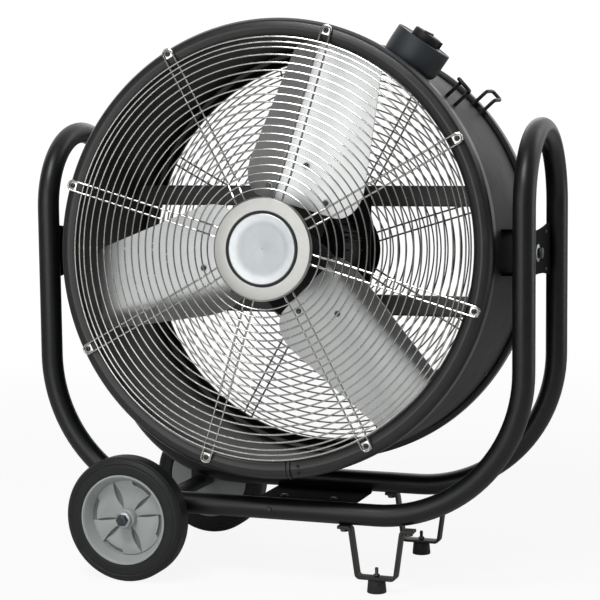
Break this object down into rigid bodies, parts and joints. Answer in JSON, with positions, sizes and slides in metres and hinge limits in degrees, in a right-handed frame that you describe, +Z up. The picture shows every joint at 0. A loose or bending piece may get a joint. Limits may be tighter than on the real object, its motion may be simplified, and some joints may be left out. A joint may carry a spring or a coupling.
{
  "type": "drum fan",
  "caption": "Portable drum fan on a wheeled tubular cradle, with a tilting drum, wire guards, sheet-metal blades and a speed control.",
  "frame": {"origin": "on the floor, under the middle of the tubular frame", "axes": "+Z up, -Y towards the front of the fan, -X towards the wheels, +X towards the feet"},
  "size_m": [0.831, 0.4036, 0.8961],
  "materials": {
    "frame_paint": "satin black powder coat",
    "drum_paint": "satin black powder coat",
    "bracket_paint": "dark grey coating",
    "guard_wire": "bright plated wire",
    "hub_steel": "turned and brushed",
    "badge_silver": "plain satin silver disc",
    "blade_aluminium": "mill finish sheet",
    "motor_casting": "black painted casting",
    "zinc": "zinc plated",
    "wheel_plastic": "grey moulded plastic",
    "tyre_rubber": "black rubber",
    "pad_rubber": "dark grey rubber",
    "control_plastic": "slate grey moulded plastic",
    "knob_plastic": "black moulded plastic"
  },
  "bodies": {
    "chassis": {"frame_right": "frame_paint", "frame_left": "frame_paint", "pivot_plate_right": "frame_paint", "pivot_plate_left": "frame_paint", "pivot_bolt_right": "zinc", "pivot_bolt_left": "zinc", "pivot_washer_right": "knob_plastic", "pivot_washer_left": "knob_plastic", "rail_spigot_front": "bracket_paint", "rail_spigot_rear": "bracket_paint", "axle_saddle_front": "frame_paint", "axle_saddle_rear": "frame_paint", "base_bolt_front_1": "zinc", "base_bolt_front_2": "zinc", "base_bolt_rear_1": "zinc", "base_bolt_rear_2": "zinc", "base_plate": "frame_paint", "wheel_axle": "frame_paint", "foot_bracket_front": "bracket_paint", "foot_pad_front": "pad_rubber", "foot_stud_front": "zinc", "foot_bolt_front_1": "zinc", "foot_bolt_front_2": "zinc", "foot_bracket_rear": "bracket_paint", "foot_pad_rear": "pad_rubber", "foot_stud_rear": "zinc", "foot_bolt_rear_1": "zinc", "foot_bolt_rear_2": "zinc"},
    "wheel_front": {"wheel_disc_front": "wheel_plastic", "tyre_front": "tyre_rubber", "wheel_bolt_front": "zinc"},
    "wheel_rear": {"wheel_disc_rear": "wheel_plastic", "tyre_rear": "tyre_rubber", "wheel_bolt_rear": "zinc"},
    "drum": {"drum_shell": "drum_paint", "front_rim": "drum_paint", "rear_rim": "drum_paint", "front_grille": "guard_wire", "rear_grille": "guard_wire", "front_hub_collar": "hub_steel", "front_hub_ring": "knob_plastic", "front_hub_badge": "badge_silver", "rear_hub_cap": "drum_paint", "trunnion_right": "frame_paint", "trunnion_left": "frame_paint", "motor_body": "motor_casting", "motor_plate": "drum_paint", "motor_bar_upper": "drum_paint", "motor_bar_lower": "drum_paint", "control_housing": "control_plastic", "cable_gland": "knob_plastic", "cord_hook_front": "frame_paint", "cord_hook_rear": "frame_paint"},
    "rotor": {"fan_hub": "motor_casting", "motor_shaft": "zinc", "fan_blade_1": "blade_aluminium", "fan_blade_2": "blade_aluminium", "fan_blade_3": "blade_aluminium"},
    "knob": {"speed_knob": "knob_plastic"}
  },
  "joints": [
    {"name": "drum_tilt", "type": "hinge", "parent": "chassis", "child": "drum", "pos_m": [0, 0, 0.527], "axis": [-1, 0, 0], "range_deg": [-94, 86]},
    {"name": "fan_spin", "type": "hinge", "parent": "drum", "child": "rotor", "pos_m": [0, 0, 0.527], "axis": [0, -0.9973, 0.0732], "continuous": true},
    {"name": "knob_turn", "type": "hinge", "parent": "drum", "child": "knob", "pos_m": [0.22828, -0.06089, 0.85837], "axis": [0.5736, 0.06, 0.817], "range_deg": [-270, 0]},
    {"name": "front_wheel_spin", "type": "hinge", "parent": "chassis", "child": "wheel_front", "pos_m": [-0.2395, -0.1775, 0.1016], "axis": [0, 1, 0], "continuous": true},
    {"name": "rear_wheel_spin", "type": "hinge", "parent": "chassis", "child": "wheel_rear", "pos_m": [-0.2395, 0.1775, 0.1016], "axis": [0, 1, 0], "continuous": true}
  ]
}
